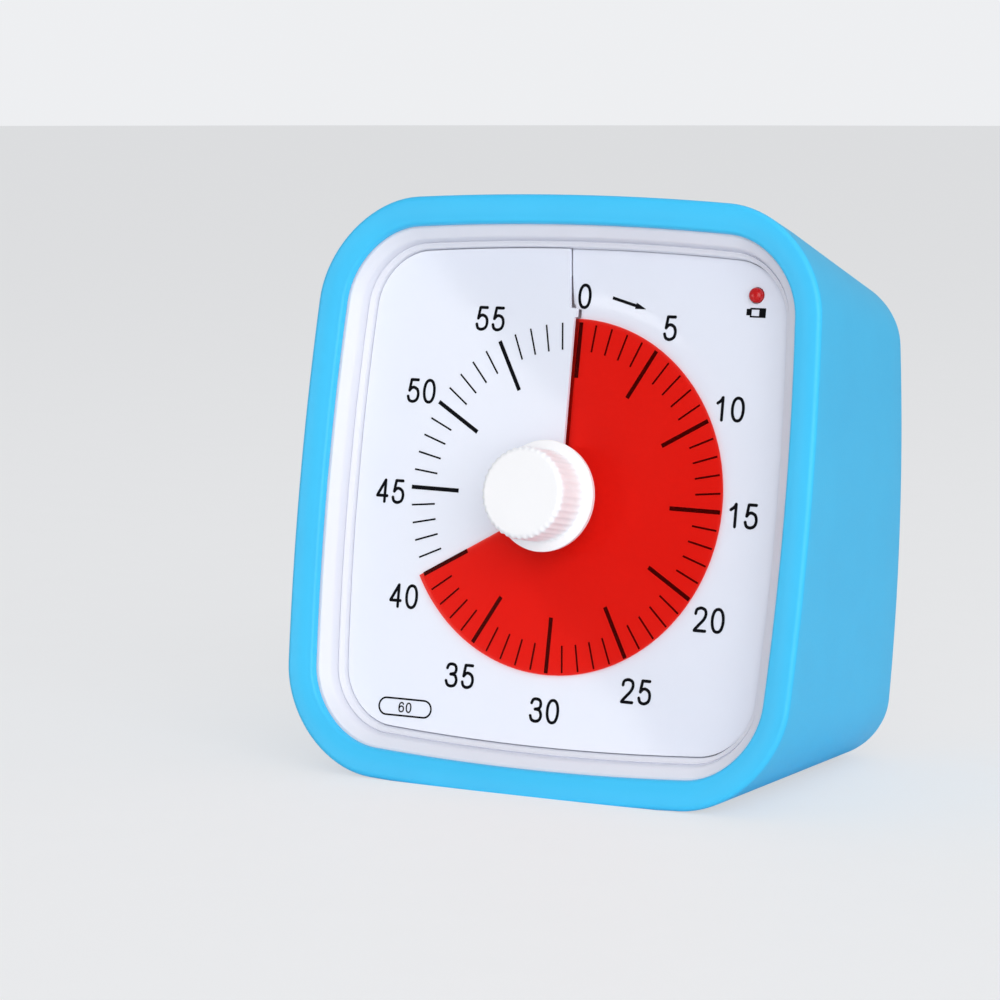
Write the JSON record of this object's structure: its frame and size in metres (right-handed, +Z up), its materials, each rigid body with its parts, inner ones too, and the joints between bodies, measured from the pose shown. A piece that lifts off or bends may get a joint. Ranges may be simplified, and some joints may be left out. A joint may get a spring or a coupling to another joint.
{
  "type": "visual countdown timer",
  "caption": "Desk timer with a translucent disc that shrinks behind a slit dial as time runs out, set by a centre knob, in a soft silicone sleeve.",
  "frame": {"origin": "middle of the bounding box's underside, on the surface it rests on", "axes": "+Z up, the dial faces -Y and leans back, +X to the viewer's right"},
  "size_m": [0.0968, 0.0664, 0.0979],
  "materials": {
    "blue_silicone": "matte pale blue silicone",
    "white_plastic": "fine satin white moulding",
    "dial_white": "smooth printed white sheet",
    "film_red": "translucent red film",
    "steel": "plated",
    "brass": "drawn",
    "natural_plastic": "natural moulding",
    "board_green": "coated laminate",
    "dark_plastic": "black moulding",
    "lamp_red": "polished lens",
    "cell_jacket": "plain jacket",
    "lead_red": "insulated",
    "lead_black": "insulated"
  },
  "bodies": {
    "case": {"silicone_sleeve": "blue_silicone", "front_bezel": "white_plastic", "rear_housing": "white_plastic", "dial_deck": "white_plastic", "dial_sheet": "dial_white", "motor": "steel", "negative_spring": "steel", "movement_screw_1": "steel", "movement_screw_2": "steel", "movement_screw_3": "steel", "movement_screw_4": "steel", "board_screw_1": "steel", "board_screw_2": "steel", "housing_screw_1": "steel", "housing_screw_2": "steel", "housing_screw_3": "steel", "housing_screw_4": "steel", "zero_contact_moving": "brass", "zero_contact_fixed": "brass", "negative_contact": "brass", "positive_contact": "brass", "movement_front_plate": "natural_plastic", "movement_rear_plate": "natural_plastic", "circuit_board": "board_green", "controller_chip": "dark_plastic", "buzzer": "dark_plastic", "volume_switch": "dark_plastic", "signal_lamp": "lamp_red", "battery_cell": "cell_jacket", "battery_lead_red": "lead_red", "motor_lead": "lead_red", "lamp_lead": "lead_red", "battery_lead_black": "lead_black", "buzzer_lead": "lead_black", "switch_lead": "lead_black"},
    "knob": {"knob": "white_plastic", "knob_shaft": "steel", "clutch_washer": "steel", "centre_wheel": "natural_plastic", "shaft_clip": "steel"},
    "film": {"time_film": "film_red", "film_hub": "natural_plastic"},
    "intermediate": {"intermediate_wheel": "natural_plastic"},
    "motor_shaft": {"motor_pinion": "brass"},
    "volume": {"volume_slider": "dark_plastic"},
    "door": {"battery_door": "white_plastic"}
  },
  "joints": [
    {"name": "knob_turn", "type": "hinge", "parent": "case", "child": "knob", "pos_m": [0, -0.01897, 0.04792], "axis": [0, 0.9859, -0.1676], "range_deg": [-240, 120]},
    {"name": "film_feed", "type": "slide", "parent": "knob", "child": "film", "axis": [0, -0.9859, 0.1676], "range_m": [-0.00107, 0.00054]},
    {"name": "intermediate_turn", "type": "hinge", "parent": "case", "child": "intermediate", "pos_m": [0.0181, -0.00517, 0.04557], "axis": [0, 0.9859, -0.1676], "range_deg": [-481, 961]},
    {"name": "motor_turn", "type": "hinge", "parent": "case", "child": "motor_shaft", "pos_m": [0.0181, -0.00264, 0.06046], "axis": [0, 0.9859, -0.1676], "range_deg": [-3841, 1921]},
    {"name": "volume_slide", "type": "slide", "parent": "case", "child": "volume", "axis": [1, 0, 0], "range_m": [-0.0025, 0.0025]},
    {"name": "door_release", "type": "slide", "parent": "case", "child": "door", "axis": [0, 0.9989, -0.0462], "range_m": [0, 0.01]}
  ],
  "couplings": [
    {"joint": "film_feed", "follows": "knob_turn", "m_per_rad": 0.00025465},
    {"joint": "intermediate_turn", "follows": "knob_turn", "ratio": -4},
    {"joint": "motor_turn", "follows": "knob_turn", "ratio": 16}
  ]
}
